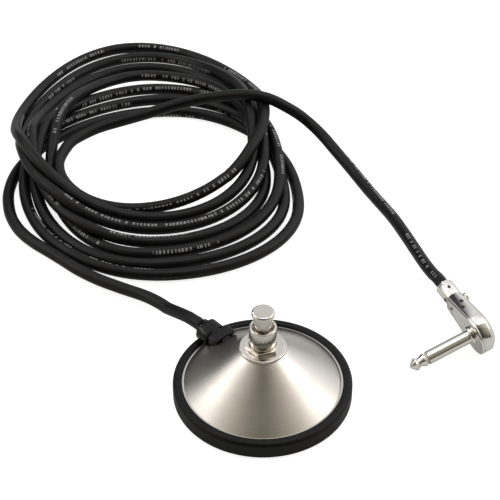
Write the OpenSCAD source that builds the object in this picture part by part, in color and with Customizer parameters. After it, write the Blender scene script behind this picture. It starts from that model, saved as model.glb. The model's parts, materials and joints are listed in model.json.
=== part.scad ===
// One-button foot switch: a spun metal cone in a rubber ring, a momentary push
// switch in its top, and a lead with a right-angle 6.35 mm plug.
// Z is up, the floor is Z = 0 and the cone's axis is the Z axis. The lead leaves along +Y.

/* [Base] */
// Outer diameter of the rubber ring
base_d = 80; // [72:0.5:110]
// Height of the rubber ring
ring_h = 8.6; // [8.6:0.1:12]
// Radial width of the rubber that shows round the cone
ring_w = 4.2; // [3.5:0.1:6]
// Radius of the ring's outer top edge
ring_round = 2; // [1:0.1:3]
// Height of the cone's foot above the floor
foot_z = 7.6; // [6.5:0.1:8]
// Thickness of the bottom plate
bottom_t = 1.2; // [0.8:0.1:2]

/* [Housing] */
// Height of the cone's flat top above the floor
cone_h = 27.2; // [26:0.1:40]
// Diameter of the cone's flat top
cone_top_d = 19; // [17.5:0.5:24]
// Thickness of the cone's sheet metal
wall = 1.2; // [0.8:0.1:1.6]
// Flat lip between the cone's foot and the rubber
lip_w = 0.8; // [0.5:0.1:1.5]

/* [Switch] */
// Diameter of the threaded bushing
bushing_d = 12; // [10:0.1:13]
// Height of the bushing above the upper nut
bushing_rise = 9.6; // [7:0.1:14]
// Size of the hexagon nuts across their flats
nut_af = 14; // [13:0.5:17]
// Thickness of the hexagon nuts
nut_t = 2; // [1.5:0.1:3]
// Diameter of the dress washer
washer_d = 21; // [19:0.5:26]
// Thickness of the dress washer
washer_t = 1.5; // [1:0.1:2]
// Thickness of the lock washer under the cone's top
lock_t = 0.8; // [0.5:0.1:1.2]
// Diameter of the push button's stem
stem_d = 8; // [6:0.1:8.2]
// Diameter of the push button's cap
cap_d = 10.1; // [8.5:0.1:11]
// Thickness of the push button's cap
cap_t = 2.1; // [1.2:0.1:3]
// Gap between the cap and the bushing at rest
cap_gap = 6.6; // [5.5:0.1:9]
// Travel of the push button
travel = 4.5; // [2:0.1:5.4]
// Outer diameter of the switch can
can_d = 18; // [17:0.5:22]

/* [Lead] */
// Diameter of the lead
cable_d = 6; // [4.5:0.1:6.4]
// Height of the strain relief's axis above the rubber ring
relief_rise = 4.3; // [4.3:0.1:6]
// Width of the strain relief's head
relief_w = 12; // [11:0.1:14]
// Length of the strain relief outside the cone, on its axis
relief_len = 9.7; // [9:0.1:13]
// Length of the strain relief's tapered nose
nose_len = 2.5; // [1:0.1:5]

/* [Plug] */
// Diameter of the plug's sleeve
sleeve_d = 6.35; // [6.3:0.01:6.4]
// Length from the collar's face to the end of the tip
plug_len = 30.5; // [29:0.1:32]
// Diameter of the plug's round body
disc_d = 20; // [18:0.5:24]
// Thickness of the plug's body
disc_t = 8.2; // [7.6:0.1:10]
// Length from the shaft's axis to the mouth of the neck
neck_len = 31; // [28:0.5:36]
// Outer diameter of the neck
neck_d = 8.7; // [8.3:0.1:10]

/* [Hidden] */
$fn = 96;

// Clearances
seat = 0.03;       // between pieces of one body that are pushed together
running = 0.08;    // radial, between the stem and the bushing

// Base and cone
base_r = base_d / 2;
foot_r = base_r - ring_w;
cone_foot_r = foot_r - lip_w;
cone_top_r = cone_top_d / 2;
cone_slope = (cone_h - foot_z) / (cone_foot_r - cone_top_r);
sheet_drop = wall * norm([1, cone_slope]);   // the sheet's thickness along Z on the slope
flange_r = foot_r + 1.5;
ring_bore_r = foot_r - 2.5;
bottom_z = 2;
bottom_r = ring_bore_r + 2;
roof_r = cone_top_r - (sheet_drop - wall) / cone_slope;

function cone_r(z) = cone_foot_r - (z - foot_z) / cone_slope;
function cone_inner_r(z) = cone_r(z + sheet_drop);

// Heights of the switch, from the cone's top down and up
washer_top = cone_h + washer_t;
nut_top = washer_top + nut_t;
bushing_top = nut_top + bushing_rise;
bushing_r = bushing_d / 2;
nut_turn = 33;
lock_z = cone_h - wall - lock_t;
lock_washer_r = roof_r - 0.7;
inner_nut_z = lock_z - nut_t;
thread_gap = 1.2;
can_top = inner_nut_z - thread_gap;
can_r = can_d / 2;
can_wall = 0.5;
can_roof = 0.8;
roof_z = can_top - can_roof;

// The plunger, downwards from the roof of the can
stem_r = stem_d / 2;
stop_gap = 0.1;
clip_t = 0.7;
clip_z = roof_z - stop_gap - clip_t;
stem_tail = 1.4;
stem_z = clip_z - stem_tail;
carrier_t = 1.4;
bridge_t = 0.6;
bridge_z = stem_z - carrier_t - bridge_t;
pad_t = 0.5;
pad_top = bridge_z - travel - stop_gap;
board_top = pad_top - pad_t;
board_t = 1.5;
board_z = board_top - board_t;
crimp_t = 0.4;
can_z = board_z - crimp_t;
clip_r = stem_r + 1.5;
groove_r = stem_r - 0.5;
hub_r = stem_r + 0.1;
bridge_r = 6.6;
spring_bore_r = stem_r - 1.1;
spring_r = spring_bore_r - 0.6;
spring_wire = 0.5;
spring_len = 13;
spring_turns = 8;
terminal_x = 5.2;
lug_len = 3.6;
lug_end_z = can_z - lug_len;
wire_d = 1.6;
solder_len = 1.3;
lug_t = 0.5;

// The button above the bushing
cap_z = bushing_top + cap_gap;
cap_top = cap_z + cap_t;
cap_edge = 0.9;
mouth_r = min(stem_r + 0.7, bushing_r - 0.8);
mouth_depth = 1.5;

// The lead and its strain relief
cable_r = cable_d / 2;
relief_z = ring_h + relief_rise;
relief_y = cone_r(relief_z);
relief_end = relief_y + relief_len;
relief_mouth = relief_end + nose_len;
head_low = relief_rise - 0.15;            // the head clears the top of the rubber ring
nose_r = min(cable_r + 1.9, head_low);
head_high = 4.2;
waist_len = 1.8;
head_len = 6.6;
clamp_high = 4.8;
bore_r = cable_r + seat;
passage_r = cable_r + 1.2;
lock_r = passage_r + 1.4;
lock_len = 1.9;
lock_y = cone_inner_r(relief_z + lock_r) - 0.15;
passage_y = lock_y - lock_len - 0.3;
jacket_y = passage_y - 1.2;

// Route of the lead from the strain relief down to the floor and on to the coil.
// Its first points follow the strain relief, the last ones stay where they are.
lead_floor = [[0, 39.3, 13.5], [0, 41.3, 13.5], [0, 45, 13.2], [0.2, 50, 12.1],
              [0.5, 57, 9.6], [0.8, 64, 7.1], [1, 71, 5], [0.6, 78, 3.7], [-0.6, 84, 3.1],
              [-2.5, 90, 3], [-4.6, 97, 3], [-7, 104.5, 3]];
lead_route = [for (p = lead_floor) let (k = max(0, min(1, (97 - p[1]) / (97 - 41.3))))
                 [p[0], p[1] + k * (relief_mouth - 39.3),
                  p[2] + k * (relief_z - 13.5) + (1 - k) * (cable_r - 3)]];

// The coil: its outline is two circles and the strip between them
coil_a = [57, 146];
coil_b = [93, 187];
coil_r = 74;
coil_hole = [71, 167];
coil_hole_r = 41;
coil_h = 18;

// Pose of the plug: it lies on the rim of its body and on its tip
plug_x = 88.2;
plug_y = -45.6;
plug_turn = 162;
plug_roll = -5;
disc_r = disc_d / 2;
neck_r = neck_d / 2;
neck_x = neck_r + 0.05;
ball_x = plug_len - 2.6;
ball_r = sleeve_d / 2 - 0.08;
collar_t = 1.8;
collar_r = 4.7;
spigot_r = 2.85;
plug_tilt = atan((disc_r - ball_r) / (ball_x + collar_t));
plug_z = disc_r * cos(plug_tilt);

// Route of the lead from the coil to the mouth of the plug's neck
plug_floor = [[144.9, 139.6, 7], [147.4, 134.4, 5], [149, 128, 3.6], [149.3, 120, 3],
              [148.4, 110, 3], [147, 100, 3], [144.8, 89, 3], [141.4, 77, 3],
              [137.4, 65, 3], [133.4, 53, 3.1], [128.6, 40.1, 4.1], [121.4, 25.4, 7],
              [113.6, 10.8, 10.2], [106.4, -3.2, 12.6]];
plug_route = concat([for (p = plug_floor) p + [0, 0, cable_r - 3]],
                    [plug_point(-neck_x, -neck_len - 4, 0), plug_point(-neck_x, -neck_len, 0)]);

// Rotations of a point about the axes, for the plug's pose
function turn_x(p, a) = [p[0], p[1] * cos(a) - p[2] * sin(a), p[1] * sin(a) + p[2] * cos(a)];
function turn_y(p, a) = [p[0] * cos(a) + p[2] * sin(a), p[1], p[2] * cos(a) - p[0] * sin(a)];
function turn_z(p, a) = [p[0] * cos(a) - p[1] * sin(a), p[0] * sin(a) + p[1] * cos(a), p[2]];
function plug_point(x, y, z) =
    [plug_x, plug_y, plug_z]
    + turn_z(turn_y(turn_x([x, y, z], plug_roll), plug_tilt), plug_turn);

// Parts of the plug, along its shaft from the base plate's front face
plate_t = 1.2;
shell_wall = 0.9;
shell_side = 4.4;
shell_taper = 2.6;
clamp_len = 9;
clamp_y = -neck_len + clamp_len;
tip_end = collar_t + plug_len;
sleeve_end = tip_end - 9.1;
ring_len = 1.3;
ring_r = sleeve_d / 2 - 0.45;
rod_r = 1.1;
core_r = 2.3;
washer_back = 0.8;
lug_back = 0.5;
rivet_t = 0.8;
screw_y = clamp_y + 1.9;
screw_r = 1.1;
screw_head_r = 2.1;
screw_head_t = 1.5;
screw_seat = neck_x + neck_r + seat;
plug_jacket_y = clamp_y - 0.6;

// Points along an arc, from angle a0 to angle a1
function arc(x, y, r, a0, a1, steps = 8) =
    [for (i = [0:steps]) let (a = a0 + (a1 - a0) * i / steps) [x + r * cos(a), y + r * sin(a)]];

function unit(v) = v / norm(v);
function heading(path, i) = unit(path[min(i + 1, len(path) - 1)] - path[max(i - 1, 0)]);

// A round tube swept along a path; its rings stand square to the path
module swept_tube(path, d, sides, side_ref) {
    count = len(path);
    rings = [for (i = [0:count - 1])
                let (t = heading(path, i), u = unit(cross(side_ref, t)), v = cross(t, u))
                for (k = [0:sides - 1])
                    path[i] + d / 2 * (cos(360 * k / sides) * u + sin(360 * k / sides) * v)];
    walls = [for (i = [0:count - 2]) for (k = [0:sides - 1])
                let (a = i * sides + k, b = i * sides + (k + 1) % sides)
                [a, a + sides, b + sides, b]];
    start = [[for (k = [0:sides - 1]) k]];
    end = [[for (k = [0:sides - 1]) count * sides - 1 - k]];
    polyhedron(points = rings, faces = concat(walls, start, end), convexity = 6);
}

// A flat ring round the Z axis
module washer_ring(z, t, r_out, r_in) {
    translate([0, 0, z]) difference() {
        cylinder(h = t, r = r_out);
        translate([0, 0, -1]) cylinder(h = t + 2, r = r_in);
    }
}

// A hexagon nut round the Z axis
module hex_nut(z, turned) {
    translate([0, 0, z]) rotate([0, 0, turned]) difference() {
        cylinder(h = nut_t, r = nut_af / 2 / cos(30), $fn = 6);
        translate([0, 0, -1]) cylinder(h = nut_t + 2, r = bushing_r + seat);
    }
}

module rubber_base_ring() {
    color("#1b1b1d") rotate_extrude() polygon(concat(
        [[ring_bore_r, 0.6], [ring_bore_r + 0.6, 0], [base_r - 1, 0], [base_r, 1]],
        arc(base_r - ring_round, ring_h - ring_round, ring_round, 0, 90),
        arc(foot_r + 0.8, ring_h - 0.8, 0.8, 90, 180, 4),
        [[foot_r, foot_z + seat], [flange_r + seat, foot_z + seat],
         [flange_r + seat, foot_z - wall - seat], [ring_bore_r, foot_z - wall - seat],
         [ring_bore_r, bottom_z + bottom_t + seat], [bottom_r + seat, bottom_z + bottom_t + seat],
         [bottom_r + seat, bottom_z - seat], [ring_bore_r, bottom_z - seat]]));
}

// The solid that the cone's outer surface encloses, grown by a gap
module cone_envelope(gap) {
    rotate_extrude() polygon([[0, -1], [cone_foot_r + gap, -1], [cone_foot_r + gap, foot_z],
                              [cone_top_r + gap, cone_h], [0, cone_h]]);
}

module cone_housing() {
    shelf_r = cone_inner_r(foot_z - wall);
    color("#b9b8b4") difference() {
        rotate_extrude() polygon([
            [flange_r, foot_z - wall], [flange_r, foot_z], [cone_foot_r, foot_z],
            [cone_top_r, cone_h], [bushing_r + 0.15, cone_h],
            [bushing_r + 0.15, cone_h - wall], [roof_r, cone_h - wall],
            [shelf_r, foot_z - wall]]);
        along_lead(passage_y, base_r, passage_r + seat, passage_r + seat);
    }
}

module bottom_plate() {
    color("#8d8d8c") translate([0, 0, bottom_z]) cylinder(h = bottom_t, r = bottom_r);
}

module dress_washer() {
    edge = 0.5;
    color("#d8d6cf") rotate_extrude() polygon(concat(
        [[bushing_r + seat, cone_h]], arc(washer_d / 2 - edge, cone_h + edge, edge, -90, 0, 4),
        arc(washer_d / 2 - edge, washer_top - edge, edge, 0, 90, 4),
        [[bushing_r + seat, washer_top]]));
}

module upper_nut() {
    color("#d6d3cb") hex_nut(washer_top, nut_turn);
}

module lock_washer() {
    color("#a9a9a6") washer_ring(lock_z, lock_t, lock_washer_r, bushing_r + seat);
}

module inner_nut() {
    color("#c9c7c1") hex_nut(inner_nut_z, nut_turn);
}

module switch_bushing() {
    edge = min(0.7, (bushing_r - mouth_r - 0.3) / 2);
    bore = stem_r + running;
    color("#d6d4cd") rotate_extrude() polygon(concat(
        [[bore, roof_z], [bushing_r, roof_z]],
        arc(bushing_r - edge, bushing_top - edge, edge, 0, 90, 5),
        [[mouth_r + 0.3, bushing_top], [mouth_r, bushing_top - 0.3],
         [mouth_r, bushing_top - mouth_depth], [bore, bushing_top - mouth_depth - 0.4]]));
}

module switch_can() {
    color("#b7b5ae") rotate_extrude() polygon([
        [bushing_r + seat, roof_z], [can_r - can_wall, roof_z], [can_r - can_wall, board_z - seat],
        [can_r - 2, board_z - seat], [can_r - 2, can_z], [can_r, can_z], [can_r, can_top],
        [bushing_r + seat, can_top]]);
}

module terminal_board() {
    slot_x = pad_t + 2 * seat;
    color("#6b3f22") difference() {
        translate([0, 0, board_z]) cylinder(h = board_t, r = can_r - can_wall - seat);
        for (side = [-1, 1])
            translate([side * terminal_x - slot_x / 2, -1.2 - seat, board_z - 1])
                cube([slot_x, 2.4 + 2 * seat, board_t + 2]);
    }
}

// A flat contact on the board with a leg through it
module terminal(side) {
    color("#c9a04a") union() {
        translate([side * terminal_x - 1.4, -1.6, board_top]) cube([2.8, 3.2, pad_t]);
        translate([side * terminal_x - lug_t / 2, -1.2, lug_end_z])
            cube([lug_t, 2.4, board_top - lug_end_z + 0.1]);
    }
}

module terminal_left() { terminal(-1); }

module terminal_right() { terminal(1); }

function spring_point(a) = [spring_r * cos(a), spring_r * sin(a),
    board_top + spring_wire / 2 + (spring_len - spring_wire) * a / (360 * spring_turns)];

module return_spring() {
    color("#c7c8ca") swept_tube(
        [for (a = [0:24:360 * spring_turns]) spring_point(a)], spring_wire, 6, [0, 0, 1]);
}

module push_button() {
    cap_r = cap_d / 2;
    color("#cfcdc6") rotate_extrude() polygon(concat(
        [[0, cap_top]], arc(cap_r - cap_edge, cap_top - cap_edge, cap_edge, 90, 0, 6),
        [[cap_r, cap_z + 0.3], [cap_r - 0.3, cap_z], [stem_r, cap_z],
         [stem_r, clip_z + clip_t + seat], [groove_r, clip_z + clip_t + seat],
         [groove_r, clip_z - seat], [stem_r, clip_z - seat], [stem_r, stem_z],
         [spring_bore_r, stem_z], [spring_bore_r, board_top + spring_len],
         [0, board_top + spring_len]]));
}

module retaining_ring() {
    color("#9a9a98") difference() {
        washer_ring(clip_z, clip_t, clip_r, groove_r + seat);
        translate([-1.5, 0, clip_z - 1]) cube([3, 6, clip_t + 2]);
    }
}

module contact_carrier() {
    color("#7a4a2a") difference() {
        union() {
            translate([0, 0, stem_z - carrier_t]) cylinder(h = carrier_t, r = clip_r);
            translate([0, 0, bridge_z]) cylinder(h = bridge_t + 0.1, r = hub_r);
        }
        translate([0, 0, bridge_z - 1]) cylinder(h = 6, r = spring_bore_r);
    }
}

module contact_bridge() {
    color("#d0a750") washer_ring(bridge_z, bridge_t, bridge_r, hub_r + seat);
}

// Outline of the strain relief across the lead, with round corners
module relief_outline(half_w, low, high, r) {
    polygon(concat(arc(half_w - r, high - r, r, 0, 90, 5), arc(r - half_w, high - r, r, 90, 180, 5),
                   arc(r - half_w, r - low, r, 180, 270, 5), arc(half_w - r, r - low, r, 270, 360, 5)));
}

module relief_block(y0, y1, half_w, low, high, r) {
    translate([0, y1, relief_z]) rotate([90, 0, 0])
        linear_extrude(y1 - y0) relief_outline(half_w, low, high, r);
}

module along_lead(y0, y1, r0, r1) {
    translate([0, y0, relief_z]) rotate([-90, 0, 0]) cylinder(h = y1 - y0, r1 = r0, r2 = r1);
}

module strain_relief_body() {
    head_y = relief_end - head_len;
    color("#101013") difference() {
        union() {
            difference() {
                union() {
                    relief_block(head_y, relief_end, relief_w / 2, head_low, head_high, 4);
                    relief_block(head_y - waist_len, head_y, relief_w / 2 - 1.4, 3.6, 3.6, 2.6);
                    relief_block(relief_y - 2.2, head_y - waist_len, relief_w / 2 - 0.2,
                                 head_low, 2.4, 1.2);
                }
                cone_envelope(seat);
            }
            along_lead(passage_y, relief_end - 1, passage_r, passage_r);
            along_lead(relief_end, relief_mouth, nose_r, min(cable_r + 0.7, nose_r));
        }
        along_lead(passage_y - 1, relief_mouth + 1, bore_r, bore_r);
    }
}

// The upper shoe that rests on the cone and holds the passage in its hole
module strain_relief_clamp() {
    back_y = relief_y - 3.6;
    front_y = relief_end - head_len - waist_len - seat;
    color("#141417") difference() {
        relief_block(back_y, front_y, relief_w / 2, -2.45, clamp_high, 1.1);
        cone_envelope(seat);
        along_lead(back_y - 1, front_y + 1, passage_r + seat, passage_r + seat);
    }
}

module strain_relief_lock() {
    color("#141417") difference() {
        along_lead(lock_y - lock_len, lock_y, lock_r, lock_r);
        along_lead(lock_y - lock_len - 1, lock_y + 1, passage_r + seat, passage_r + seat);
    }
}

module cable_end() {
    color("#161618") along_lead(jacket_y, relief_mouth, cable_r, cable_r);
}

// Insulated wire from the end of the jacket, under the can, to a terminal's lug
module conductor(side) {
    lug_z = lug_end_z + 1;
    swept_tube([[side * 1.2, jacket_y, relief_z], [side * 1.2, jacket_y - 0.7, relief_z],
                [side * 1.4, jacket_y - 1.5, relief_z - 0.7],
                [side * 1.9, jacket_y - 2, relief_z - 2.4], [side * 2.8, jacket_y - 2.6, lug_z + 1.8],
                [side * 4.4, jacket_y - 4.5, lug_z - 0.6], [side * 6.6, 5.4, lug_z - 0.9],
                [side * 8.2, 2.2, lug_z - 0.4], [side * 8.2, 0.4, lug_z],
                [side * (terminal_x + lug_t / 2 + solder_len + 0.9), 0, lug_z],
                [side * (terminal_x + lug_t / 2 + solder_len), 0, lug_z]],
               wire_d, 8, [side * 0.35, 0.25, 0.9]);
}

module conductor_black() {
    color("#1c1c1c") conductor(-1);
}

module conductor_white() {
    color("#e9e7df") conductor(1);
}

module solder_joints() {
    color("#b5b8bb") for (side = [-1, 1])
        translate([side * (terminal_x + lug_t / 2), 0, lug_end_z + 1])
            rotate([0, side * 90, 0]) cylinder(h = solder_len, r1 = 1.1, r2 = wire_d / 2);
}

module cable_lead() {
    color("#161618") swept_tube(lead_route, cable_d, 10, [0, 0, 1]);
}

module cable_coil() {
    across = coil_b - coil_a;
    aim = atan2(across[1], across[0]);
    color("#1a1a1c") difference() {
        linear_extrude(coil_h) polygon(concat(
            arc(coil_b[0], coil_b[1], coil_r, aim - 90, aim + 90, 30),
            arc(coil_a[0], coil_a[1], coil_r, aim + 90, aim + 270, 30)));
        translate([coil_hole[0], coil_hole[1], -1]) cylinder(h = coil_h + 2, r = coil_hole_r);
    }
}

module cable_plug_lead() {
    color("#161618") swept_tube(plug_route, cable_d, 10, [0, 0, 1]);
}

// Puts a piece drawn about the plug's shaft (+X, neck along -Y) where the plug lies
module at_plug() {
    translate([plug_x, plug_y, plug_z]) rotate([0, 0, plug_turn]) rotate([0, plug_tilt, 0])
        rotate([plug_roll, 0, 0]) children();
}

// A round bar or disc on the plug's shaft
module on_shaft(x0, x1, r0, r1) {
    translate([x0, 0, 0]) rotate([0, 90, 0]) cylinder(h = x1 - x0, r1 = r0, r2 = r1);
}

// A round bar on the axis of the plug's neck
module on_neck(y0, y1, r) {
    translate([-neck_x, y1, 0]) rotate([90, 0, 0]) cylinder(h = y1 - y0, r = r);
}

module plug_neck_clamp() {
    color("#d3d0c6") at_plug() difference() {
        on_neck(-neck_len, clamp_y, neck_r);
        on_neck(-neck_len - 1, clamp_y + 1, cable_r + seat);
    }
}

// The pressed cover's form: a round box that narrows to the neck
module shell_form(inset) {
    hull() {
        on_shaft(-plate_t - shell_side, -plate_t, disc_r - inset, disc_r - inset, $fn = 48);
        on_shaft(inset - disc_t, inset - disc_t + 0.4, disc_r - shell_taper - inset,
                 disc_r - shell_taper - inset, $fn = 48);
        on_neck(clamp_y + inset, clamp_y + inset + 1, neck_r - inset, $fn = 32);
    }
}

module plug_shell() {
    color("#cbc8be") at_plug() difference() {
        shell_form(0);
        shell_form(shell_wall);
        translate([-plate_t - seat, -neck_len, -disc_d]) cube([disc_t, neck_len * 2, disc_d * 2]);
        on_neck(clamp_y - 1, clamp_y + 4, cable_r + 0.3);
        translate([0, screw_y, 0]) on_shaft(-disc_t - 3, 0, screw_r + seat, screw_r + seat);
    }
}

// The teardrop plate that carries the shaft
module plug_base_plate() {
    side = neck_r - 0.6;
    lean = acos((disc_r - side) / norm([disc_r, clamp_y]));
    color("#c7c5bd") at_plug() difference() {
        translate([-plate_t, 0, 0]) rotate([90, 0, 90]) linear_extrude(plate_t)
            polygon(concat(arc(0, 0, disc_r, -180 + lean * 0.8, 180 - lean * 0.8, 24),
                           [[clamp_y + seat, side], [clamp_y + seat, -side]]));
        on_shaft(-plate_t - 1, 1, core_r + seat, core_r + seat);
    }
}

module plug_collar() {
    color("#d2cfc5") at_plug() difference() {
        union() {
            on_shaft(0, collar_t - 0.5, collar_r, collar_r);
            on_shaft(collar_t - 0.5, collar_t, collar_r, collar_r - 0.5);
        }
        on_shaft(-1, collar_t + 1, spigot_r + seat, spigot_r + seat);
    }
}

module plug_sleeve() {
    color("#dad7cd") at_plug() difference() {
        union() {
            on_shaft(0, collar_t + 0.1, spigot_r, spigot_r);
            on_shaft(collar_t, sleeve_end, sleeve_d / 2, sleeve_d / 2);
        }
        on_shaft(-1, sleeve_end + 1, core_r + seat, core_r + seat);
    }
}

module plug_insulator() {
    color("#cdc8bd") at_plug() difference() {
        union() {
            on_shaft(-plate_t, sleeve_end + 0.1, core_r, core_r);
            on_shaft(sleeve_end + seat, sleeve_end + ring_len, ring_r, ring_r);
        }
        on_shaft(-plate_t - 1, tip_end, rod_r + seat, rod_r + seat);
    }
}

module plug_tip() {
    tip_x = sleeve_end + ring_len + seat;
    back_x = -plate_t - washer_back - lug_back - 3 * seat;
    ball = collar_t + ball_x;
    color("#dbd8ce") at_plug() rotate([0, 90, 0]) rotate_extrude() polygon(concat(
        [[0, back_x - rivet_t], [1.7, back_x - rivet_t], [1.7, back_x], [rod_r, back_x],
         [rod_r, tip_x], [ball_r - 0.15, tip_x], [ball_r, tip_x + 0.9], [ball_r - 0.9, tip_x + 2.6],
         [ball_r - 0.9, ball - 1.5], [ball_r - 0.2, ball - 0.6], [ball_r, ball], [1.2, tip_end - 0.4]],
        [[0.7, tip_end], [0, tip_end]]));
}

module plug_insulating_washer() {
    back = -plate_t - washer_back - seat;
    color("#7a4a2a") at_plug() difference() {
        on_shaft(back, -plate_t - seat, 4.6, 4.6);
        on_shaft(back - 1, 1, rod_r + seat, rod_r + seat);
    }
}

module plug_tip_lug() {
    back = -plate_t - washer_back - lug_back - 2 * seat;
    color("#c9a04a") at_plug() difference() {
        union() {
            on_shaft(back, back + lug_back, 3, 3);
            translate([back, -7.5, -1.2]) cube([lug_back, 6, 2.4]);
        }
        on_shaft(back - 1, 0, rod_r + seat, rod_r + seat);
    }
}

module plug_screw() {
    color("#d9d6cc") at_plug() translate([0, screw_y, 0]) {
        on_shaft(-screw_seat - screw_head_t, -screw_seat, screw_head_r, screw_head_r);
        on_shaft(-screw_seat - 0.1, -plate_t - 2 * seat, screw_r, screw_r);
    }
}

module plug_cable_end() {
    color("#161618") at_plug() on_neck(-neck_len, plug_jacket_y, cable_r);
}

// Wires inside the plug, from the jacket past the screw to the lug and to the base plate
module plug_conductor_tip() {
    start = [-neck_x, plug_jacket_y, 1.9];
    color("#e9e7df") at_plug() swept_tube(
        [start, start + [0, 1.6, 0], start + [0.2, 4, 0.7], start + [0.6, 7, 0.5],
         [-neck_x + 0.6, -9.5, 1.2], [-plate_t - washer_back - lug_back - 0.9, -7.6, 0.1],
         [-plate_t - washer_back - lug_back - 0.9, -5.4, 0]], 1.4, 8, [1, 0, 0.2]);
}

module plug_conductor_sleeve() {
    start = [-neck_x, plug_jacket_y, -1.9];
    color("#1c1c1c") at_plug() swept_tube(
        [start, start + [0, 1.6, 0], start + [0.4, 4, -0.8], [-neck_x + 1.3, -12.5, -3.6],
         [-plate_t - 0.8, -9.5, -5.2], [-plate_t - 0.8, -7, -5.6]], 1.4, 8, [1, 0, 0.2]);
}

rubber_base_ring();
cone_housing();
bottom_plate();
dress_washer();
upper_nut();
lock_washer();
inner_nut();
switch_bushing();
switch_can();
terminal_board();
terminal_left();
terminal_right();
return_spring();
push_button();
retaining_ring();
contact_carrier();
contact_bridge();
strain_relief_body();
strain_relief_clamp();
strain_relief_lock();
cable_end();
conductor_black();
conductor_white();
solder_joints();
cable_lead();
cable_coil();
cable_plug_lead();
plug_neck_clamp();
plug_shell();
plug_base_plate();
plug_collar();
plug_sleeve();
plug_insulator();
plug_tip();
plug_insulating_washer();
plug_tip_lug();
plug_screw();
plug_cable_end();
plug_conductor_tip();
plug_conductor_sleeve();
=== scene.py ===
"""One-button foot switch: a spun nickel cone in a rubber ring, a coiled lead and a right-angle jack plug."""
import json
import math
import bpy
import bmesh
import numpy as np
from mathutils import Matrix, Vector
from mathutils.bvhtree import BVHTree


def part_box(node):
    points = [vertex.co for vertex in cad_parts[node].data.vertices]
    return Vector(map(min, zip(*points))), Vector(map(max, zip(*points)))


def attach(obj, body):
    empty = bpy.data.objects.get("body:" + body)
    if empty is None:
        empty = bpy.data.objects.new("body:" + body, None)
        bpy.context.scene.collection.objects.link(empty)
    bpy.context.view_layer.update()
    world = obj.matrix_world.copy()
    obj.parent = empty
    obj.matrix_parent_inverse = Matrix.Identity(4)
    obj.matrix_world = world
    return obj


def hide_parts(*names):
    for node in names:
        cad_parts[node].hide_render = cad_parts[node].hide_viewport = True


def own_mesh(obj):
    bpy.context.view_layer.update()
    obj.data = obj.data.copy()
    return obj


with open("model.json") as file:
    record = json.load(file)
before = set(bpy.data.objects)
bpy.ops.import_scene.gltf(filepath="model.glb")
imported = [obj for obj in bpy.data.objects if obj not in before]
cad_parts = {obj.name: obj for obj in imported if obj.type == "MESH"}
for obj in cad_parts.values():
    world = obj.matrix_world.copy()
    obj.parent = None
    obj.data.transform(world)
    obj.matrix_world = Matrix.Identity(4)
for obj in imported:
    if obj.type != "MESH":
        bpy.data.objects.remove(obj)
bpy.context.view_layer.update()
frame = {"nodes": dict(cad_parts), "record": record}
NODES = frame["nodes"]
MM = 0.001

# ---------------------------------------------------------------- camera, floor and light
scene = bpy.context.scene
scene.view_settings.view_transform = "Standard"

lens = bpy.data.cameras.new("camera")
lens.lens = 108
lens.sensor_width = 36
lens.clip_start = 0.01
camera = bpy.data.objects.new("camera", lens)
camera.location = (-0.3262, -0.3416, 0.4818)
camera.rotation_euler = (math.radians(49.84), 0, math.radians(-43))
scene.collection.objects.link(camera)
scene.camera = camera


# Directions in which the light comes from; only their bearing counts
BACK, DARK_CORNER = (0.682, 0.731, 0), (0, 0.97, 0.22)
RIGHT_SIDE, LEFT_SIDE = (0.640, -0.477, 0.602), (-0.506, 0.618, 0.602)
FRONT_LIGHT, BACK_LIGHT, SIDE_GLOW = 0.04, 0.8, 0.7
WARM, COOL = (1, 0.9, 0.74, 1), (0.98, 0.98, 1, 1)


def studio_world():
    """White behind the object; for its light, two bright sides, a pale back, and a dark front and corner."""
    world = bpy.data.worlds.new("studio")
    scene.world = world
    world.use_nodes = True
    tree = world.node_tree
    tree.nodes.clear()
    new, link = tree.nodes.new, tree.links.new
    way = new("ShaderNodeTexCoord").outputs["Generated"]

    def towards(aim, low, high, out_low, out_high):
        """A value that goes from one number to another as a direction turns towards an aim."""
        dot = new("ShaderNodeVectorMath")
        dot.operation = "DOT_PRODUCT"
        dot.inputs[1].default_value = Vector(aim).normalized()
        link(way, dot.inputs[0])
        spread = new("ShaderNodeMapRange")
        spread.interpolation_type = "SMOOTHSTEP"
        for key, value in (("From Min", low), ("From Max", high), ("To Min", out_low), ("To Max", out_high)):
            spread.inputs[key].default_value = value
        link(dot.outputs["Value"], spread.inputs["Value"])
        return spread.outputs["Result"]

    total = towards(BACK, -0.55, 0.7, FRONT_LIGHT, BACK_LIGHT)
    for what, extra in (("ADD", towards(RIGHT_SIDE, 0.45, 1.0, 0, SIDE_GLOW)),
                        ("ADD", towards(LEFT_SIDE, 0.45, 1.0, 0, SIDE_GLOW)),
                        ("MULTIPLY", towards(DARK_CORNER, 0.72, 0.96, 1, 0.05))):
        step = new("ShaderNodeMath")
        step.operation = what
        link(total, step.inputs[0])
        link(extra, step.inputs[1])
        total = step.outputs[0]
    given, seen = new("ShaderNodeBackground"), new("ShaderNodeBackground")
    tint = new("ShaderNodeMix")
    tint.data_type = "RGBA"
    link(towards(BACK, -0.6, 0.6, 0, 1), tint.inputs["Factor"])
    tint.inputs[6].default_value = WARM
    tint.inputs[7].default_value = COOL
    link(tint.outputs[2], given.inputs["Color"])
    link(total, given.inputs["Strength"])
    seen.inputs["Color"].default_value = (1, 1, 1, 1)
    mix, out = new("ShaderNodeMixShader"), new("ShaderNodeOutputWorld")
    link(new("ShaderNodeLightPath").outputs["Is Camera Ray"], mix.inputs[0])
    link(given.outputs[0], mix.inputs[1])
    link(seen.outputs[0], mix.inputs[2])
    link(mix.outputs[0], out.inputs["Surface"])


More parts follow.
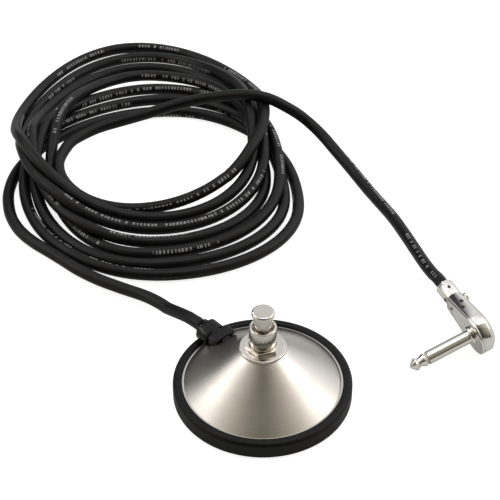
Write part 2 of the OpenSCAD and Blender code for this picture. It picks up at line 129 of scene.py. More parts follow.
def softbox(name, way, far, size, watts):
    """A square lamp that looks at the foot switch."""
    light = bpy.data.lights.new(name, "AREA")
    light.shape = "RECTANGLE"
    light.size, light.size_y = size, size
    light.energy = watts
    lamp = bpy.data.objects.new(name, light)
    lamp.location = Vector((0.02, 0.03, 0)) + Vector(way).normalized() * far
    lamp.rotation_euler = Vector(way).to_track_quat("Z", "Y").to_euler()
    scene.collection.objects.link(lamp)


studio_world()
softbox("right softbox", RIGHT_SIDE, 1.2, 0.5, 1.7)
softbox("left softbox", LEFT_SIDE, 1.2, 0.5, 1.6)
softbox("top softbox", (0.1, 0.0, 1.0), 1.3, 0.5, 2.3)
softbox("glint", (0.0, 0.75, 0.66), 1.2, 0.1, 0.4)


def plain_floor():
    """A pale floor that shows nearly white and gives little light of its own."""
    bm = bmesh.new()
    bmesh.ops.create_grid(bm, x_segments=1, y_segments=1, size=3.0)
    mesh = bpy.data.meshes.new("floor")
    bm.to_mesh(mesh)
    bm.free()
    mat = bpy.data.materials.new("pale floor")
    mat.use_nodes = True
    tree = mat.node_tree
    shader = tree.nodes["Principled BSDF"]
    shader.inputs["Base Color"].default_value = (0.5, 0.5, 0.5, 1)
    shader.inputs["Roughness"].default_value = 0.9
    shader.inputs["Specular IOR Level"].default_value = 0.1
    shader.inputs["Emission Color"].default_value = (1, 1, 1, 1)
    glow = tree.nodes.new("ShaderNodeMapRange")
    glow.inputs["To Min"].default_value = 0.15
    glow.inputs["To Max"].default_value = 0.84
    tree.links.new(tree.nodes.new("ShaderNodeLightPath").outputs["Is Camera Ray"], glow.inputs["Value"])
    tree.links.new(glow.outputs["Result"], shader.inputs["Emission Strength"])
    mesh.materials.append(mat)
    floor = bpy.data.objects.new("floor", mesh)
    floor.location = (0, 0, -0.0002)
    scene.collection.objects.link(floor)


plain_floor()

# ---------------------------------------------------------------- the lead
# Everything about the lead's route is in millimetres
CABLE = 6.0
STEP = 3.4                              # between two points of its centre line
LAY = math.radians(-43)                 # how the coil's axes are turned on the floor
LYING = CABLE / 2                       # height of the centre line on the floor
TURNS = 7
DRAWN_START, DRAWN_END = 170.0, 172.0   # lengths at the two ends whose heights are drawn
FIXED_START, FIXED_END = 60, 152.0      # lengths at the two ends that never move
TURN_LENGTH, TURN_RISE = 450, 6.3       # lead in one turn, and how much higher the next one starts
CLIMB = 60                              # length over which the last stretch comes down before it settles
PRESSED = 0.25                          # how far two strands may press into each other
LAST_STRETCH = 420                      # length at the far end that is evened out more


def from_lay(u, v, z):
    """A point of the coil, in axes turned with its lie on the floor, in the part's frame."""
    return (u * math.cos(LAY) - v * math.sin(LAY), u * math.sin(LAY) + v * math.cos(LAY), z)


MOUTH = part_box("cable_end")[1][1] / MM
AXIS = (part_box("cable_end")[0][2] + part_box("cable_end")[1][2]) / 2 / MM
LEAD_START = [(0, 39.3, 13.5), (0, 41.3, 13.5), (0, 45, 13.2), (0.2, 50, 12.1), (0.5, 57, 9.6),
              (0.8, 64, 7.1), (1, 71, 5), (0.6, 78, 3.7), (-0.6, 84, 3.1), (-2.5, 90, 3),
              (-4.6, 97, 3), (-7, 104.5, 3), (-9, 113, 3), (-10.3, 121, 3), (-10.9, 129.5, 3),
              (-11.8, 139.5, 3)]
LEAD_START = [(x, y + k * (MOUTH - 39.3), z + k * (AXIS - 13.5)) for x, y, z in LEAD_START
              for k in [max(0, min(1, (97 - y) / (97 - 41.3)))]]
JOIN = [(-111.8, 100.8), (-120, 110), (-126, 121.5), (-129, 134)]
TURN_FRONT = [(-52, 76.5), (-55, 84.5), (-58, 92.5), (-60, 100.5), (-62, 108.5), (-62, 116.5),
              (-66, 124.5)]
TURN_BACK = [(-50, 216), (-54, 226), (-58, 236), (-62, 247), (-66, 258), (-68, 268.5), (-72, 279)]
TURN_LEFT = [(-129.8, 143), (-123.5, 156), (-117.3, 163), (-111, 168), (-120.5, 180), (-126.5, 186),
             (-130.8, 190), (-108, 156)]
TURN_RIGHT = [(17, 130), (12, 136), (9, 145), (5, 152), (2, 158), (-3, 165), (1, 186)]
OVER_COIL = [(-105.2, 168.5, 9.6), (-102.5, 174.8, 10.3), (-96.6, 180.6, 11.3), (-88.9, 186.2, 12.6),
             (-75.7, 191.0, 14.5), (-59.7, 195.8, 16.6), (-46.3, 199.4, 19), (-31.6, 200.6, 21.2),
             (-19.1, 199.0, 22), (-11.0, 197.2, 20.5), (-4.6, 195.5, 18.5), (1.4, 194.4, 16),
             (7.9, 193.8, 13), (13.3, 193.0, 10.5)]
LEAD_END = [(145.6, 127, 6.5), (147.9, 119.5, 3.4), (148.4, 110, 3),
            (147, 100, 3), (144.8, 89, 3), (141.4, 77, 3), (137.4, 65, 3), (133.4, 53, 3.1),
            (128.6, 40.1, 4.1), (121.4, 25.4, 7), (113.6, 10.8, 10.2), (106.4, -3.2, 12.6)]
PLUG_AT, PLUG_TURN, PLUG_ROLL = (88.2, -45.6), 162, -5
PLUG_TILT = math.atan((10 - 3.095) / (27.9 + 1.8))


def plug_matrix():
    """Puts what is drawn about the plug's shaft where the plug lies, in metres."""
    place = Vector((PLUG_AT[0], PLUG_AT[1], 10 * math.cos(PLUG_TILT))) * MM
    return (Matrix.Translation(place) @ Matrix.Rotation(math.radians(PLUG_TURN), 4, "Z")
            @ Matrix.Rotation(PLUG_TILT, 4, "Y") @ Matrix.Rotation(math.radians(PLUG_ROLL), 4, "X"))


PLUG = plug_matrix()
NECK_X, NECK_MOUTH = -4.4, -31.0


def quarter_turn(start, end, along_v, count=7):
    """A quarter of an oval turn, from one extreme of the turn to the next."""
    points = []
    for i in range(count):
        a = math.pi / 2 * i / count
        if along_v:
            u = end[0] + (start[0] - end[0]) * math.cos(a)
            v = start[1] + (end[1] - start[1]) * math.sin(a)
        else:
            u = start[0] + (end[0] - start[0]) * math.sin(a)
            v = end[1] + (start[1] - end[1]) * math.cos(a)
        points.append(from_lay(u, v, LYING))
    return points


def through(points, step):
    """A smooth line through the points, cut into equal steps."""
    p = [np.array(q, float) for q in points]
    p = [2 * p[0] - p[1]] + p + [2 * p[-1] - p[-2]]
    line = []
    for a, b, c, d in zip(p, p[1:], p[2:], p[3:]):
        t = np.cumsum([0] + [np.linalg.norm(y - x) ** 0.5 for x, y in ((a, b), (b, c), (c, d))])
        for s in np.linspace(t[1], t[2], max(3, int(np.linalg.norm(c - b))), endpoint=False):
            ab = a + (b - a) * (s - t[0]) / (t[1] - t[0])
            bc = b + (c - b) * (s - t[1]) / (t[2] - t[1])
            cd = c + (d - c) * (s - t[2]) / (t[3] - t[2])
            abc = ab + (bc - ab) * (s - t[0]) / (t[2] - t[0])
            bcd = bc + (cd - bc) * (s - t[1]) / (t[3] - t[1])
            line.append(abc + (bcd - abc) * (s - t[1]) / (t[2] - t[1]))
    line = np.array(line + [p[-2]])
    run = np.concatenate([[0], np.cumsum(np.linalg.norm(np.diff(line, axis=0), axis=1))])
    even = np.linspace(0, run[-1], int(round(run[-1] / step)) + 1)
    return np.stack([np.interp(even, run, line[:, k]) for k in range(3)], 1)


def soften(values, length, step=STEP):
    """Evens a row of values out over a length of the lead, ends kept."""
    m = int(3 * length / step)
    k = np.exp(-0.5 * (np.arange(-m, m + 1) * step / length) ** 2)
    v = np.concatenate([2 * values[0] - values[m:0:-1], values, 2 * values[-1] - values[-2:-m - 2:-1]])
    return np.convolve(v, k / k.sum(), "valid")


def pairs_near(points, reach, apart=9):
    """Pairs of points of the lead that lie near each other on the floor, not along the lead."""
    flat = ((points[:, None, :2] - points[None, :, :2]) ** 2).sum(2)
    i, j = np.where(flat < reach * reach)
    keep = (j - i) >= apart
    return i[keep], j[keep]


def drawn_route():
    """The lead as it is drawn: out of the strain relief, the loose turns, over the coil and on to the plug."""
    turns = []
    for i in range(TURNS):
        stops = (TURN_LEFT[i], TURN_BACK[i], TURN_RIGHT[i], TURN_FRONT[i], TURN_LEFT[i + 1])
        for k in range(4):
            turns += quarter_turn(stops[k], stops[k + 1], k % 2 == 0)
    turns.append(from_lay(*TURN_LEFT[TURNS], LYING))
    mouth = [tuple((PLUG @ (Vector((NECK_X, y, 0)) * MM)) / MM) for y in (NECK_MOUTH - 4, NECK_MOUTH)]
    route = (LEAD_START + [from_lay(u, v, LYING) for u, v in JOIN] + turns
             + [from_lay(*p) for p in OVER_COIL] + LEAD_END + mouth)
    line = through(route, STEP)
    line[1:-1] = 0.25 * line[:-2] + 0.5 * line[1:-1] + 0.25 * line[2:]
    return line


def push_apart(p, i, j, free):
    """Moves strands that press into each other apart, each by half of what is missing."""
    v = p[j] - p[i]
    gap = np.sqrt((v * v).sum(1)) + 1e-9
    hit = gap < CABLE
    push = (0.5 * (CABLE - gap[hit]) / gap[hit])[:, None] * v[hit]
    move, count = np.zeros_like(p), np.zeros(len(p))
    np.add.at(move, j[hit], push)
    np.add.at(move, i[hit], -push)
    np.add.at(count, j[hit], 1)
    np.add.at(count, i[hit], 1)
    return p + move / np.sqrt(np.maximum(count, 1))[:, None] * free[:, None]


def settle_turns(line, run, left_over, free):
    """Each turn starts above the one before and then sinks; the two ends stay as they are."""
    drawn = (run < DRAWN_START) | (left_over < DRAWN_END)
    high = LYING + TURN_RISE * np.clip((run - DRAWN_START) / TURN_LENGTH, 0, None)
    z = np.where(drawn, line[:, 2], high)
    ramp = (left_over >= DRAWN_END) & (left_over < DRAWN_END + CLIMB)
    top = high[left_over > DRAWN_END + CLIMB].max()
    z[ramp] = LYING + (top - LYING) * (left_over[ramp] - DRAWN_END) / CLIMB
    rest = line[:, :2].copy()
    p = np.column_stack([rest, z])
    for turn in range(240):
        p[:, 2] -= 0.3 * free
        p[:, :2] += (rest - p[:, :2]) * 0.015 * free[:, None]
        if turn % 6 == 0:
            i, j = pairs_near(p, CABLE + 3)
        for again in range(2):
            p = push_apart(p, i, j, free)
            for k in range(2):
                shift = p[:, k] - rest[:, k]
                p[:, k] += (soften(shift, 22) - shift) * 0.5 * free
            p[:, 2] += (soften(p[:, 2], 10) - p[:, 2]) * 0.3 * free
            p[:, 2] = np.maximum(p[:, 2], LYING)
    for k in range(2):
        p[:, k] = rest[:, k] + soften(p[:, k] - rest[:, k], 18)
    return p


def lifted(z, under, over, rise):
    """The heights with every strand raised on to the ones below it."""
    need = z.copy()
    np.maximum.at(need, over, z[under] + rise)
    return need


def span_supports(z, need, start, end):
    """Between two points, the lead goes from one support to the next like a stiff cord, with a little sag."""
    at = start
    while at < end:
        ahead = np.arange(at + 1, end + 1)
        slope = (need[ahead] - need[at]) / (ahead - at)
        reached = int(ahead[np.argmax(slope)])
        share = np.linspace(0, 1, reached + 1 - at)
        sag = 0.1 * (reached - at) * STEP * share * (1 - share)
        z[at:reached + 1] = np.maximum(need[at] + (need[reached] - need[at]) * share - sag,
                                       need[at:reached + 1])
        at = reached


def lay_lead():
    """The centre line of the lead as it lies, settled turn on turn."""
    line = drawn_route()
    n = len(line)
    run = np.arange(n) * np.linalg.norm(line[1] - line[0])
    left_over = run[-1] - run
    free = np.where((run < FIXED_START) | (left_over < FIXED_END), 0.0, 1.0)
    p = settle_turns(line, run, left_over, free)

    # now the heights alone: every strand lies on the ones laid before it
    thick = CABLE - PRESSED
    under, over = pairs_near(p, thick)
    flat = ((p[under, :2] - p[over, :2]) ** 2).sum(1)
    rise = np.sqrt(np.maximum(thick * thick - flat, 0))
    z = p[:, 2].copy()
    for again in range(320):
        z = np.maximum(z - 0.12 * free, LYING)
        z = z + (soften(z, 12) - z) * 0.35 * free
        z = np.where(free > 0, lifted(z, under, over, rise), z)

    # the last stretch leaves the coil's left side and comes down just before the floor
    leaves = np.array(from_lay(-108, 160, 0))[:2]
    far_off = np.linalg.norm(p[:, :2] - leaves, axis=1) + 1e3 * (left_over > 620)
    start, end = int(np.argmin(far_off)), int(np.argmin(np.abs(left_over - (DRAWN_END - 25))))
    need = np.full(n, LYING)
    np.maximum.at(need, over, z[under] + rise)
    need[start], need[end] = z[start], z[end]
    span_supports(z, need, start, end)

    # evened out, and lifted again wherever that let strands sink into each other
    ease = np.where((run < 30) | (left_over < 8), 0.0, 1.0)
    z = z + (soften(z, 7) - z) * ease
    last_part = ease * (left_over < LAST_STRETCH)
    z = np.maximum(z + (soften(z, 12) - z) * last_part, LYING)
    rise = np.sqrt(np.maximum((thick + 1.2 * last_part[over]) ** 2 - flat, 0))
    for part, rounds, width in ((ease, 16, 4), (last_part, 10, 7)):
        for again in range(rounds):
            z = z + (lifted(z, under, over, rise) - z) * part
            z = z + (soften(z, width) - z) * part
    p[:, 2] = np.maximum(z, LYING)
    return p


centre = lay_lead() * MM


def tube_along(name, line, radius, around=4):
    """A round tube along a line, with a UV map: metres along the lead, and a share of the way round."""
    curve = bpy.data.curves.new(name, "CURVE")
    curve.dimensions = "3D"
    curve.bevel_depth = radius
    curve.bevel_resolution = around
    curve.use_fill_caps = False
    curve.twist_mode = "Z_UP"
    spline = curve.splines.new("POLY")
    spline.points.add(len(line) - 1)
    for point, spot in zip(spline.points, line):
        point.co = (*spot, 1)
    made = bpy.data.objects.new(name, curve)
    scene.collection.objects.link(made)
    bpy.context.view_layer.update()
    seen = made.evaluated_get(bpy.context.evaluated_depsgraph_get())
    mesh = bpy.data.meshes.new_from_object(seen)
    bpy.data.objects.remove(made)
    mesh.name = name
    sides = len(mesh.vertices) // len(line)
    run = np.concatenate([[0], np.cumsum(np.linalg.norm(np.diff(line, axis=0), axis=1))])
    uv = mesh.uv_layers.active or mesh.uv_layers.new(name="along")
    uv.name = "along"
    for face in mesh.polygons:
        face.use_smooth = True
        turn = [mesh.loops[k].vertex_index % sides for k in face.loop_indices]
        wraps = max(turn) - min(turn) > sides // 2
        for k, t in zip(face.loop_indices, turn):
            ring = mesh.loops[k].vertex_index // sides
            uv.data[k].uv = (run[ring], (t + (sides if wraps and t == 0 else 0)) / sides)
    piece = bpy.data.objects.new(name, mesh)
    scene.collection.objects.link(piece)
    return piece


lead = tube_along("lead", centre, CABLE / 2 * MM)
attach(lead, "foot_switch")
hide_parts("cable_lead", "cable_coil", "cable_plug_lead")

# ---------------------------------------------------------------- surface effects


def effect(name, inputs, outputs):
    """An empty shared effect with named inputs and outputs."""
    tree = bpy.data.node_groups.new(name, "ShaderNodeTree")
    for key, kind, value in inputs:
        socket = tree.interface.new_socket(name=key, in_out="INPUT", socket_type="NodeSocket" + kind)
        if value is not None:
            socket.default_value = value
    for key, kind in outputs:
        tree.interface.new_socket(name=key, in_out="OUTPUT", socket_type="NodeSocket" + kind)
    return tree, tree.nodes.new("NodeGroupInput").outputs, tree.nodes.new("NodeGroupOutput").inputs


def wired(tree, kind, links=(), operation=None, **values):
    """A node of a tree with its links and plain values set."""
    node = tree.nodes.new(kind)
    if operation:
        node.operation = operation
    for key, value in values.items():
        node.inputs[key.replace("_", " ")].default_value = value
    for key, source in dict(links).items():
        tree.links.new(source, node.inputs[key])
    return node


def surface_haze():
    """Broad soft clouds: handling haze, dust and small changes of gloss."""
    tree, given, out = effect("surface haze", (("Vector", "Vector", None), ("Scale", "Float", 100.0)),
                              (("Mask", "Float"),))
    cloud = wired(tree, "ShaderNodeTexNoise", {"Vector": given["Vector"], "Scale": given["Scale"]},
                  Detail=4.0, Roughness=0.55)
    spread = wired(tree, "ShaderNodeMapRange", {"Value": cloud.outputs["Fac"]}, From_Min=0.32, From_Max=0.68)
    tree.links.new(spread.outputs["Result"], out["Mask"])
    return tree


def fine_grain():
    """Close moulded or plated grain."""
    tree, given, out = effect("fine grain", (("Vector", "Vector", None), ("Scale", "Float", 2500.0)),
                              (("Height", "Float"),))
    grain = wired(tree, "ShaderNodeTexNoise", {"Vector": given["Vector"], "Scale": given["Scale"]},
                  Detail=2.0, Roughness=0.6)
    tree.links.new(grain.outputs["Fac"], out["Height"])
    return tree


def drawn_lines():
    """Lines left by drawing, buffing or extruding, longest where the stretch is least."""
    tree, given, out = effect("drawn lines", (("Vector", "Vector", None), ("Stretch", "Vector", (1, 1, 1))),
                              (("Height", "Float"),))
    at = wired(tree, "ShaderNodeVectorMath", {0: given["Vector"], 1: given["Stretch"]}, "MULTIPLY")
    line = wired(tree, "ShaderNodeTexNoise", {"Vector": at.outputs[0]}, Scale=1.0, Detail=3.0, Roughness=0.6)
    tree.links.new(line.outputs["Fac"], out["Height"])
    return tree


def turned_rings():
    """Fine rings round the upright axis, as a lathe or a spinning tool leaves."""
    tree, given, out = effect("turned rings", (("Vector", "Vector", None), ("Scale", "Float", 4000.0)),
                              (("Height", "Float"),))
    flat = wired(tree, "ShaderNodeVectorMath", {0: given["Vector"]}, "MULTIPLY")
    flat.inputs[1].default_value = (1, 1, 0)
    radius = wired(tree, "ShaderNodeVectorMath", {0: flat.outputs[0]}, "LENGTH")
    split = wired(tree, "ShaderNodeSeparateXYZ", {0: given["Vector"]})
    at = wired(tree, "ShaderNodeCombineXYZ", {"X": radius.outputs["Value"], "Z": split.outputs["Z"]})
    ring = wired(tree, "ShaderNodeTexNoise", {"Vector": at.outputs[0], "Scale": given["Scale"]},
                 Detail=4.0, Roughness=0.7)
    tree.links.new(ring.outputs["Fac"], out["Height"])
    return tree


def print_bars():
    """Strings of short pale bars along a lead, on a line that wanders slowly round it."""
    tree, given, out = effect("printed bars", (("Along", "Float", 0.0), ("Around", "Float", 0.0),
                                               ("Pitch", "Float", 0.00185), ("Height", "Float", 0.045)),
                              (("Mask", "Float"),))

    def sum_of(what, x, y=None):
        node = tree.nodes.new("ShaderNodeMath")
        node.operation = what
        for k, v in enumerate((x, y)):
            if isinstance(v, (int, float)):
                node.inputs[k].default_value = v
            elif v is not None:
                tree.links.new(v, node.inputs[k])
        return node.outputs[0]

    count = sum_of("DIVIDE", given["Along"], given["Pitch"])
    pick = tree.nodes.new("ShaderNodeTexWhiteNoise")
    pick.noise_dimensions = "1D"
    tree.links.new(sum_of("FLOOR", count), pick.inputs["W"])
    wide = sum_of("ADD", sum_of("MULTIPLY", pick.outputs["Value"], 0.44), 0.28)
    ink = sum_of("LESS_THAN", sum_of("FRACT", count), wide)
    ink = sum_of("MULTIPLY", ink, sum_of("GREATER_THAN", pick.outputs["Value"], 0.2))
    for scale, what in ((17.0, "string"), (1.7, "line")):
        wave = tree.nodes.new("ShaderNodeTexNoise")
        wave.noise_dimensions = "1D"
        wave.inputs["Scale"].default_value = scale
        wave.inputs["Detail"].default_value = 0.0
        tree.links.new(given["Along"], wave.inputs["W"])
        if what == "string":
            ink = sum_of("MULTIPLY", ink, sum_of("GREATER_THAN", wave.outputs["Fac"], 0.47))
        else:
            middle = sum_of("ADD", sum_of("MULTIPLY", wave.outputs["Fac"], 1.25), -0.36)
            off = sum_of("ABSOLUTE", sum_of("SUBTRACT", given["Around"], middle))
            ink = sum_of("MULTIPLY", ink, sum_of("LESS_THAN", off, given["Height"]))
    tree.links.new(ink, out["Mask"])
    return tree


HAZE, GRAIN, LINES, RINGS, BARS = surface_haze(), fine_grain(), drawn_lines(), turned_rings(), print_bars()

# ---------------------------------------------------------------- materials


class Finish:
    """One material, with short words for the nodes that feed its shader."""

    def __init__(self, name):
        self.mat = bpy.data.materials.new(name)
        self.mat.use_nodes = True
        self.tree = self.mat.node_tree
        self.shader = self.tree.nodes["Principled BSDF"]
        self.at = self.tree.nodes.new("ShaderNodeTexCoord").outputs["Object"]

    def use(self, group, output, **values):
        """One output of a shared effect, with this finish's own values."""
        node = self.tree.nodes.new("ShaderNodeGroup")
        node.node_tree = group
        for key, value in values.items():
            if hasattr(value, "is_output"):
                self.tree.links.new(value, node.inputs[key])
            else:
                node.inputs[key].default_value = value
        if not node.inputs[0].is_linked and node.inputs[0].name == "Vector":
            self.tree.links.new(self.at, node.inputs[0])
        return node.outputs[output]

    def between(self, share, low, high):
        """A number from low to high by a share from 0 to 1."""
        node = wired(self.tree, "ShaderNodeMapRange", {"Value": share}, To_Min=low, To_Max=high)
        return node.outputs["Result"]

    def tones(self, share, first, second):
        """A colour between two, by a share from 0 to 1."""
        node = self.tree.nodes.new("ShaderNodeMix")
        node.data_type = "RGBA"
        self.tree.links.new(share, node.inputs["Factor"])
        for socket, tone in zip([s for s in node.inputs if s.type == "RGBA"], (first, second)):
            if hasattr(tone, "is_output"):
                self.tree.links.new(tone, socket)
            else:
                socket.default_value = (*tone, 1)
        return [s for s in node.outputs if s.type == "RGBA"][0]

    def relief(self, height, depth, strength=0.5, under=None):
        """Small relief on the surface, over another relief where one is given."""
        links = {"Height": height} if under is None else {"Height": height, "Normal": under}
        return wired(self.tree, "ShaderNodeBump", links, Distance=depth, Strength=strength).outputs["Normal"]

    def done(self, **values):
        """Sets or links the shader's sockets and hands the material over."""
        for key, value in values.items():
            socket = self.shader.inputs[key.replace("_", " ")]
            if hasattr(value, "is_output"):
                self.tree.links.new(value, socket)
            else:
                socket.default_value = (*value, 1) if isinstance(value, tuple) else value
        return self.mat


def spun_nickel():
    """Satin nickel plate over fine rings left by the spinning tool."""
    f = Finish("satin nickel, spun")
    rings = f.use(RINGS, "Height", Scale=4200.0)
    cloud = f.use(HAZE, "Mask", Scale=55.0)
    return f.done(Base_Color=f.tones(rings, (0.48, 0.455, 0.415), (0.7, 0.675, 0.635)), Metallic=1.0,
                  Roughness=f.between(cloud, 0.27, 0.34), Anisotropic=0.7,
                  Normal=f.relief(rings, 0.00002, 0.45))


def turned_nickel():
    """Bright nickel on turned pieces: faint tool rings under handling haze."""
    f = Finish("bright nickel, turned")
    rings = f.use(RINGS, "Height", Scale=2600.0)
    haze = f.use(HAZE, "Mask", Scale=210.0)
    return f.done(Base_Color=f.tones(haze, (0.7, 0.665, 0.61), (0.63, 0.6, 0.55)), Metallic=1.0,
                  Roughness=f.between(haze, 0.1, 0.2), Normal=f.relief(rings, 0.000012, 0.35))


def polished_nickel():
    """Polished nickel on the plug: buffing lines and finger haze."""
    f = Finish("polished nickel")
    haze = f.use(HAZE, "Mask", Scale=180.0)
    lines = f.use(LINES, "Height", Stretch=(900, 900, 9000))
    return f.done(Base_Color=f.tones(haze, (0.88, 0.86, 0.82), (0.82, 0.8, 0.755)), Metallic=1.0,
                  Roughness=f.between(haze, 0.13, 0.22), Normal=f.relief(lines, 0.00001, 0.3))


def plain_steel():
    """Zinc plated steel, slightly cloudy."""
    f = Finish("zinc plated steel")
    haze = f.use(HAZE, "Mask", Scale=420.0)
    return f.done(Base_Color=f.tones(haze, (0.5, 0.5, 0.49), (0.62, 0.62, 0.6)), Metallic=1.0,
                  Roughness=f.between(haze, 0.32, 0.5), Normal=f.relief(f.use(GRAIN, "Height"), 0.00001))


def contact_brass():
    """Spring brass with darker handling haze."""
    f = Finish("contact brass")
    haze = f.use(HAZE, "Mask", Scale=500.0)
    return f.done(Base_Color=f.tones(haze, (0.8, 0.6, 0.27), (0.62, 0.42, 0.16)), Metallic=1.0,
                  Roughness=f.between(haze, 0.24, 0.36), Normal=f.relief(f.use(GRAIN, "Height"), 0.00001))


def pressed_board():
    """Brown pressed board with its fibres lying one way."""
    f = Finish("pressed brown board")
    fibre = f.use(LINES, "Height", Stretch=(1400, 5600, 1400))
    return f.done(Base_Color=f.tones(fibre, (0.16, 0.07, 0.03), (0.36, 0.19, 0.09)), Roughness=0.55,
                  Normal=f.relief(fibre, 0.00003))


def ring_rubber():
    """Black moulded rubber with a faint grain and a little dust."""
    f = Finish("ring rubber")
    dust = f.use(HAZE, "Mask", Scale=85.0)
    return f.done(Base_Color=f.tones(dust, (0.0018, 0.0017, 0.0019), (0.0065, 0.006, 0.0065)),
                  Roughness=f.between(dust, 0.42, 0.55), Specular_IOR_Level=0.2,
                  Normal=f.relief(f.use(GRAIN, "Height", Scale=2300.0), 0.00006, 0.4))


def glossy_plastic(name="glossy black plastic", tone=(0.0015, 0.0015, 0.0022), low=0.05, high=0.1):
    """Moulded plastic with a skin that is not quite flat."""
    f = Finish(name)
    haze = f.use(HAZE, "Mask", Scale=160.0)
    return f.done(Base_Color=f.tones(haze, tone, tuple(c * 1.6 + 0.001 for c in tone)),
                  Roughness=f.between(haze, low, high), Specular_IOR_Level=0.26,
                  Normal=f.relief(f.use(GRAIN, "Height", Scale=420.0), 0.0001, 0.12))


def wire_cover(name, tone):
    """The thin plastic cover of one conductor."""
    f = Finish(name)
    haze = f.use(HAZE, "Mask", Scale=600.0)
    return f.done(Base_Color=f.tones(haze, tone, tuple(c * 0.82 for c in tone)), Roughness=0.45,
                  Normal=f.relief(f.use(GRAIN, "Height", Scale=3000.0), 0.00002, 0.4))


def solder_tin():
    """Tin solder, lumpy and half bright."""
    f = Finish("solder")
    lumps = f.use(HAZE, "Mask", Scale=900.0)
    return f.done(Base_Color=f.tones(lumps, (0.55, 0.56, 0.58), (0.68, 0.69, 0.7)), Metallic=1.0,
                  Roughness=f.between(lumps, 0.22, 0.36), Normal=f.relief(lumps, 0.0001))


def lead_jacket():
    """Matte black rubber jacket: drawn streaks, faint dust and strings of short pale printed bars."""
    f = Finish("lead jacket")
    uv = wired(f.tree, "ShaderNodeUVMap")
    uv.uv_map = "along"
    split = wired(f.tree, "ShaderNodeSeparateXYZ", {0: uv.outputs[0]})
    streak = f.use(LINES, "Height", Vector=uv.outputs[0], Stretch=(18, 46, 1))
    dust = f.use(HAZE, "Mask", Scale=130.0)
    grain = f.use(GRAIN, "Height", Scale=2300.0)
    ink = f.use(BARS, "Mask", Along=split.outputs[0], Around=split.outputs[1])
    worn = wired(f.tree, "ShaderNodeMath", {0: ink, 1: f.between(f.use(HAZE, "Mask", Scale=1500.0), 0.3, 1)},
                 "MULTIPLY")
    black = f.tones(dust, (0.0022, 0.0022, 0.0026), (0.0075, 0.0075, 0.0085))
    return f.done(Base_Color=f.tones(worn.outputs[0], black, (0.36, 0.36, 0.37)),
                  Roughness=f.between(streak, 0.34, 0.48), Specular_IOR_Level=0.23,
                  Normal=f.relief(streak, 0.00008, 0.3, f.relief(grain, 0.00005, 0.35)))


def painted_recess_shade():
    """Painted shade: a dark colour that stands in for the shaded inside of a punched mark."""
    f = Finish("painted recess shade")
    haze = f.use(HAZE, "Mask", Scale=900.0)
    return f.done(Base_Color=f.tones(haze, (0.02, 0.018, 0.015), (0.06, 0.055, 0.05)), Metallic=0.6,
                  Roughness=f.between(haze, 0.35, 0.6))


FINISH = {
    "ring_rubber": ring_rubber(), "satin_nickel": spun_nickel(), "bright_nickel": turned_nickel(),
    "plain_steel": plain_steel(), "contact_brass": contact_brass(), "phenolic": pressed_board(),
    "relief_plastic": glossy_plastic(), "wire_black": wire_cover("black wire cover", (0.02, 0.02, 0.02)),
    "wire_white": wire_cover("white wire cover", (0.78, 0.77, 0.73)), "solder": solder_tin(),
    "plug_plastic": glossy_plastic("plug insulator plastic", (0.42, 0.4, 0.36), 0.2, 0.32),
    "jacket_rubber": lead_jacket(),
}
# the second finish is painted shade: a dark colour for the shaded insides of punched marks
POLISHED, RECESS_SHADE = polished_nickel(), painted_recess_shade()
SLOT = {part["node"]: part["material_slot"] for part in frame["record"]["subparts"]}
SAME_POINT = 2e-6                       # metres within which points of a CAD node are one


def finish_of(node):
    """A CAD node's material; the plug's bright metal is buffed, the switch's is turned."""
    if node.startswith("plug_") and SLOT[node] == "bright_nickel":
        return POLISHED
    return FINISH[SLOT[node]]


for node in SLOT:
    NODES[node].data.materials.clear()
    NODES[node].data.materials.append(finish_of(node))
lead.data.materials.clear()
lead.data.materials.append(FINISH["jacket_rubber"])

# ---------------------------------------------------------------- pieces with eased edges


def settle_piece(bm, name, mat, slot, body, *stands_for):
    """Makes a piece from a bmesh, gives it its finish and puts it on its body."""
    mesh = bpy.data.meshes.new(name)
    bm.to_mesh(mesh)
    bm.free()
    for face in mesh.polygons:
        face.use_smooth = True
    mesh.materials.append(mat)
    piece = bpy.data.objects.new(name, mesh)
    scene.collection.objects.link(piece)
    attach(piece, body)
    if stands_for:
        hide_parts(*stands_for)
    return piece


def eased(node, width, segments=3, angle=32):
    """The same shape with its sharp edges broken, as tumbling, plating or moulding leaves them."""
    bm = bmesh.new()
    bm.from_mesh(NODES[node].data)
    bmesh.ops.remove_doubles(bm, verts=bm.verts, dist=SAME_POINT)
    bmesh.ops.dissolve_limit(bm, angle_limit=math.radians(0.8), verts=bm.verts, edges=bm.edges)
    piece = settle_piece(bm, node + "_eased", finish_of(node), SLOT[node], "foot_switch", node)
    bevel = piece.modifiers.new("eased edges", "BEVEL")
    bevel.width = width * MM
    bevel.segments = segments
    bevel.limit_method = "ANGLE"
    bevel.angle_limit = math.radians(angle)
    bevel.harden_normals = True
    bevel.use_clamp_overlap = True


for node, width in (("strain_relief_body", 0.45), ("strain_relief_clamp", 0.5), ("upper_nut", 0.22),
                    ("dress_washer", 0.3), ("switch_bushing", 0.22), ("plug_shell", 0.35),
                    ("plug_base_plate", 0.25), ("plug_neck_clamp", 0.2), ("plug_collar", 0.25)):
    eased(node, width)


def spring_coil():
    """The return spring, copied from its CAD node as a piece of its own."""
    bm = bmesh.new()
    bm.from_mesh(NODES["return_spring"].data)
    bmesh.ops.remove_doubles(bm, verts=bm.verts, dist=SAME_POINT)
    coil = settle_piece(bm, "return_spring_coil", finish_of("return_spring"), SLOT["return_spring"],
                        "foot_switch", "return_spring")
    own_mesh(coil)


spring_coil()


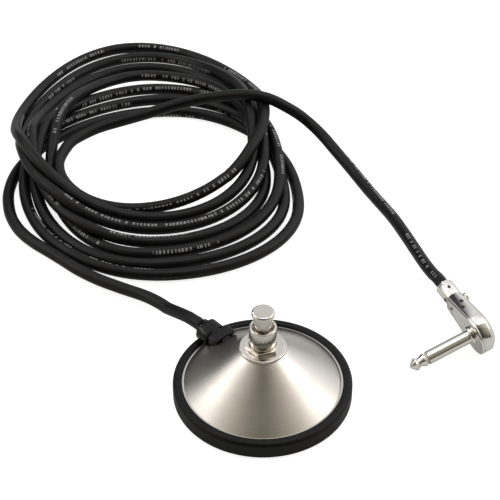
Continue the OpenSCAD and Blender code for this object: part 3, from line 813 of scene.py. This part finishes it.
def slotted_screw():
    """The plug's clamp screw: a low round head with a slot."""
    bm = bmesh.new()
    bmesh.ops.create_cone(bm, cap_ends=True, segments=40, radius1=2.1 * MM, radius2=2.1 * MM,
                          depth=1.5 * MM)
    rim = [e for e in bm.edges if all(v.co.z > 0 for v in e.verts)]
    bmesh.ops.bevel(bm, geom=rim, offset=0.55 * MM, segments=4, profile=0.5, affect="EDGES", material=-1)
    for side in (-0.28, 0.28):
        bmesh.ops.bisect_plane(bm, geom=bm.verts[:] + bm.edges[:] + bm.faces[:],
                               plane_co=(side * MM, 0, 0), plane_no=(1, 0, 0))
    top = [f for f in bm.faces if f.normal.z > 0.9 and abs(f.calc_center_median().x) < 0.2 * MM
           and f.calc_center_median().z > 0.7 * MM]
    cut = bmesh.ops.extrude_face_region(bm, geom=top)
    bmesh.ops.delete(bm, geom=top, context="FACES_ONLY")
    slot_floor = [v for v in cut["geom"] if isinstance(v, bmesh.types.BMVert)]
    bmesh.ops.translate(bm, vec=(0, 0, -0.7 * MM), verts=slot_floor)
    return bm


screw = slotted_screw()
bmesh.ops.transform(screw, matrix=PLUG @ Matrix.Translation(Vector((-9.54, -20.1, 0)) * MM)
                    @ Matrix.Rotation(-math.pi / 2, 4, "Y") @ Matrix.Rotation(0.6, 4, "Z"), verts=screw.verts)
settle_piece(screw, "plug_screw_head", POLISHED, "bright_nickel", "foot_switch", "plug_screw")


def crimp_marks():
    """Punched marks where the plug's neck is closed on the lead, on its outer faces, as thin discs coloured
    with painted shade for their shaded insides.
    """
    skins = []
    for node in ("plug_neck_clamp", "plug_shell", "plug_base_plate"):
        skin = bmesh.new()
        skin.from_mesh(NODES[node].data)
        skins.append(BVHTree.FromBMesh(skin))
        skin.free()
    marks = bmesh.new()
    # millimetres along the neck, degrees round it, and the mark's radius
    for along, turn, wide in ((-26.5, 92, 0.75), (-22.9, 14, 0.95), (-17.25, 10, 0.8), (-15, 90, 1.0),
                              (-10.9, 78, 0.9), (-26.5, 200, 0.75), (-15, 262, 0.95)):
        a = math.radians(turn)
        out = Vector((math.cos(a), 0, math.sin(a)))
        start = PLUG @ ((Vector((NECK_X, along, 0)) + out * 20) * MM)
        way = -(PLUG.to_3x3() @ out).normalized()
        hits = [h for h in (skin.ray_cast(start, way) for skin in skins) if h[0] is not None]
        if not hits:
            continue
        spot, normal = min(hits, key=lambda h: h[3])[:2]
        made = bmesh.ops.create_cone(marks, cap_ends=True, segments=24, radius1=wide * MM,
                                     radius2=wide * 0.82 * MM, depth=0.2 * MM)
        neck = (PLUG.to_3x3() @ Vector((0, 1, 0))).normalized()
        side = neck.cross(normal).normalized()
        frame_at = Matrix((side, normal.cross(side), normal)).transposed().to_4x4()
        bmesh.ops.transform(marks, verts=made["verts"], matrix=Matrix.Translation(spot) @ frame_at
                            @ Matrix.Diagonal((1, 1.35, 1, 1)))
    rims = [e for e in marks.edges if len(e.link_faces) == 2 and e.calc_face_angle(0) > 0.9]
    bmesh.ops.bevel(marks, geom=rims, offset=0.05 * MM, segments=2, profile=0.5, affect="EDGES", material=-1)
    # the marks are thin discs in a dark colour: painted shade standing in for their shaded hollows
    settle_piece(marks, "plug_crimp_marks", RECESS_SHADE, "bright_nickel", "foot_switch")


crimp_marks()
